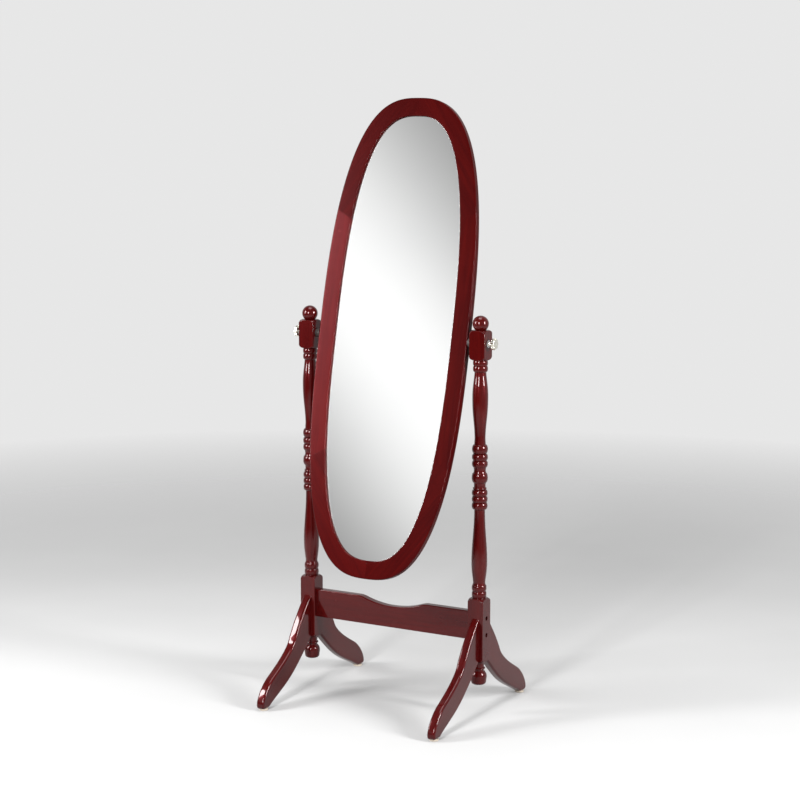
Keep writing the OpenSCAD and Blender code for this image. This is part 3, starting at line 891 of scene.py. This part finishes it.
def threaded_stud(name):
    """An M6 stud, its thread drawn as close ridges at a pitch of 1 mm."""
    start, end = 197.0, 274.25
    outline = [(0, start), (2.2, start)]
    for i in range(int(end - start - 1)):
        outline += [(2.5, start + 0.5 + i), (2.98, start + 1.0 + i)]
    outline += [(2.5, end - 0.3), (2.5, end), (0, end)]
    return turned(name, outline, (0, 0, PIVOT_Z), (1, 0, 0), 24)


right_parts = {
    "pivot_insert": (
        ring_x("brass_insert_right", STUD_HOLE, 5, FRAME_A - 14, FRAME_A, 0.3),
        "mirror",
        "insert_brass",
    ),
    "pivot_spacer": (
        ring_x("nylon_spacer_right", STUD_HOLE, 11, FRAME_A, POST_X - BLOCK_HALF - FACE_GAP, 0.6),
        "mirror",
        "spacer_plastic",
    ),
    "knob_washer": (
        ring_x("plain_washer_right", STUD_HOLE, 9, KNOB_BASE - 1.6, KNOB_BASE, 0.3),
        "washer",
        "zinc_steel",
    ),
    "tilt_knob": (lobed_knob("lobed_knob_right"), "knob", "knob_metal"),
    "knob_stud": (threaded_stud("threaded_stud_right"), "knob", "zinc_steel"),
}
hardware_finish = {
    "insert_brass": yellow_brass(),
    "spacer_plastic": nylon(),
    "zinc_steel": zinc_plate,
    "knob_metal": pale_brass(),
}
for node, (piece, body, slot) in right_parts.items():
    if node != "tilt_knob":
        smoothed(piece, 40)
    other = twin(piece, piece.name.replace("right", "left"), smooth=node == "tilt_knob")
    if node != "tilt_knob":
        smoothed(other, 40)
    for side, part in (("right", piece), ("left", other)):
        part.data.materials.append(hardware_finish[slot])
        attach(part, body if body == "mirror" else f"{body}_{side}")
        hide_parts(f"{node}_{side}")

# ---- Stretcher bolts and cross nuts ----
# Two M6 socket-head bolts go through each post into steel cross nuts in the stretcher. Their
# heads lie in counterbores on the posts' outer faces.


def socket_bolt(name, height):
    """A bolt with a rounded cap head and a hexagon socket."""
    head = POST_X + BLOCK_HALF - 12
    outline = [(0, STRETCHER_END - 36), (2.4, STRETCHER_END - 36), (3, STRETCHER_END - 35.2), (3, head)]
    outline += [(5, head), (5, head + 5.4)] + arc((4.4, head + 5.4), 0.6, 0, 90, 4) + [(0, head + 6)]
    bolt = turned(name, outline, (0, 0, height), (1, 0, 0), 40)
    release()
    bpy.ops.mesh.primitive_cylinder_add(
        vertices=6, radius=2.9 * MM, depth=6 * MM, location=Vector((head + 6, 0, height)) * MM,
        rotation=(0, math.pi / 2, 0),
    )
    socket = named("socket")
    bpy.ops.object.transform_apply(location=True, rotation=True, scale=True)
    return combined(bolt, socket, "DIFFERENCE")


def cross_nut(name, height):
    """A short steel bar across the bolt, with a slot in its rear end to line it up."""
    centre = (STRETCHER_END - 28, 0, height)
    outline = [(0, -7.8), (4.5, -7.8), (5, -7.3), (5, 7.3), (4.5, 7.8), (0, 7.8)]
    nut = turned(name, outline, centre, (0, 1, 0), 40)
    combined(nut, drill(3.05, centre, 16), "DIFFERENCE")
    release()
    bpy.ops.mesh.primitive_cube_add(size=1, location=Vector((centre[0], 7.8, height)) * MM)
    slot = named("slot")
    slot.scale = (12 * MM, 2 * MM, 1.3 * MM)
    bpy.ops.object.transform_apply(location=True, rotation=True, scale=True)
    return combined(nut, slot, "DIFFERENCE")


for name, node, make in (
    ("socket_bolts", "stretcher_bolts", socket_bolt),
    ("cross_nuts", "stretcher_barrel_nuts", cross_nut),
):
    parts = [make(name, height) for height in (204, 246)]
    parts += [twin(part, name, smooth=False) for part in parts]
    group = smoothed(gathered(name, parts), 40)
    group.data.materials.append(zinc_plate)
    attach(group, "stand")
    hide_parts(node)

# ---- Foot glides ----
# A round plastic glide is nailed under each toe, so only the four glides touch the floor.


def glide_plastic():
    """Ivory plastic, scuffed grey where it slides."""
    plastic = Finish(bpy.data.materials.new("ivory_plastic"))
    scuff = plastic.ramp(plastic.noise(plastic.place(), 350, 4, 0.65), 0.5, 0.75)
    return plastic.surface(
        Base_Color=plastic.mix(scuff, (0.42, 0.36, 0.29), (0.27, 0.24, 0.21)),
        Roughness=0.42 + scuff * 0.25,
        Normal=plastic.bump(scuff, 0.15, 0.0002),
    )


glide_outline = [(0, 0), (9.5, 0)] + arc((9.5, 1.5), 1.5, -90, 0, 6) + arc((10, 4), 1, 0, 90, 4)
glide_outline += [(1.25, 5), (1.25, 16), (0, 17)]
glides = []
for x in (-POST_X, POST_X):
    for y in (-225, 225):
        glides.append(turned("glide", glide_outline, (x, y, 0), (0, 0, 1), 48))
foot_glides = smoothed(gathered("nailed_glides", glides))
foot_glides.data.materials.append(glide_plastic())
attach(foot_glides, "stand")
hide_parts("foot_glides")

# ---- Floor ----
# A plain pale studio floor that fades into the backdrop.
release()
bpy.ops.mesh.primitive_circle_add(vertices=96, radius=9, fill_type="NGON")
floor = named("studio_floor")
paint = Finish(bpy.data.materials.new("pale_floor"))
spot = paint.place()
distance = paint.add("VectorMath", {"operation": "LENGTH"}, {0: spot}, output="Value")
tint = paint.noise(spot, 2.5, 2)
matt = paint.add(
    "BsdfPrincipled",
    None,
    {
        "Base Color": paint.mix(tint, (0.40, 0.40, 0.40), (0.43, 0.43, 0.43)),
        "Roughness": 0.85,
        "Specular IOR Level": 0.2,
    },
)
clear = paint.add("BsdfTransparent")
fade = paint.ramp(distance, 1.5, 4.2)
paint.add("OutputMaterial", None, {"Surface": paint.add("MixShader", None, {0: fade, 1: matt, 2: clear})})
floor.data.materials.append(paint.owner)

# ---- Studio light ----
# Tall softboxes stand to the left, in front and to the right, with a square one above. The
# walls behind and beside are pale, the front is dark, and a bright band lies where the mirror
# looks.


def towards(azimuth, elevation):
    """A direction from the object, with azimuth 0 in front and 90 to the right."""
    turn, rise = math.radians(azimuth), math.radians(elevation)
    return Vector((math.sin(turn) * math.cos(rise), -math.cos(turn) * math.cos(rise), math.sin(rise)))


def softbox(name, azimuth, elevation, distance, width, height, power):
    """An area light that looks at the object's middle."""
    away = towards(azimuth, elevation)
    light = bpy.data.lights.new(name, "AREA")
    light.shape = "RECTANGLE"
    light.size = width
    light.size_y = height
    light.energy = power
    lamp = bpy.data.objects.new(name, light)
    lamp.location = Vector((0, 0, 0.85)) + away * distance
    lamp.rotation_euler = away.to_track_quat("Z", "Y").to_euler()
    lamp.visible_camera = False
    bpy.context.scene.collection.objects.link(lamp)


softbox("left_softbox", -48, 16, 2.4, 0.45, 1.25, 74)
softbox("front_softbox", 4, 14, 4.2, 0.5, 1.6, 200)
softbox("right_softbox", 88, 14, 3.2, 0.45, 1.4, 150)
softbox("top_light", 20, 84, 3.0, 1.6, 1.6, 60)

world = bpy.data.worlds.new("studio")
bpy.context.scene.world = world
room = Finish(world)
look = room.add("TexCoord", output="Generated")


def along_look(direction):
    """How far the direction looked at lies along another one."""
    return room.add("VectorMath", {"operation": "DOT_PRODUCT"}, {0: look, 1: direction}, output="Value")


band_middle = towards(-30.5, 14.8)
level = Vector((0, 0, 1)).cross(band_middle).normalized()
upward = band_middle.cross(level)
band_slope = math.radians(43)
band_across = level * math.sin(band_slope) + upward * math.cos(band_slope)
band_along = level * math.cos(band_slope) - upward * math.sin(band_slope)
across = along_look(band_across) / math.sin(math.radians(3.9))
lengthwise = along_look(band_along) / math.sin(math.radians(16))
ahead = room.ramp(along_look(band_middle), 0.5, 0.8)
falls = (across * across + lengthwise * lengthwise) * -1
band = falls.math("EXPONENT", falls) * ahead
behind = room.ramp(along_look(Vector((0, 1, 0))), -0.1, 0.5)
above = room.ramp(along_look(Vector((0, 0, 1))), 0.1, 0.9)
glow = room.ramp(along_look(band_middle), 0.93, 0.99)
aside = along_look(Vector((1, 0, 0)))
sides = room.ramp(aside * aside, 0.45, 0.85)
right_wall = room.ramp(along_look(towards(45, 10)), 0.70, 0.96)
front = 0.02 + band * 0.90 + glow * 0.12
strength = front + behind * 0.58 + above * 0.20 + sides * 0.25 + right_wall * 0.35
seen = room.add("LightPath", output="Is Camera Ray")
shown = seen * 0.80 + (1 - seen) * strength
backdrop = room.add("Background", None, {"Color": (1, 1, 1, 1), "Strength": shown})
room.add("OutputWorld", None, {"Surface": backdrop})

# ---- Camera ----
# The camera stands in front and to the right, a little above the mirror's middle.
CAMERA_AZIMUTH = 29.79
CAMERA_ELEVATION = 8.57
CAMERA_DISTANCE = 4.883
aim = Vector((0.0189, 0, 0.7636))
away = towards(CAMERA_AZIMUTH, CAMERA_ELEVATION)
view = bpy.data.cameras.new("camera")
view.sensor_width = 36
view.lens = 89.82
camera = bpy.data.objects.new("camera", view)
camera.location = aim + away * CAMERA_DISTANCE
camera.rotation_euler = away.to_track_quat("Z", "Y").to_euler()
bpy.context.scene.collection.objects.link(camera)
bpy.context.scene.camera = camera
bpy.context.scene.view_settings.view_transform = "Standard"
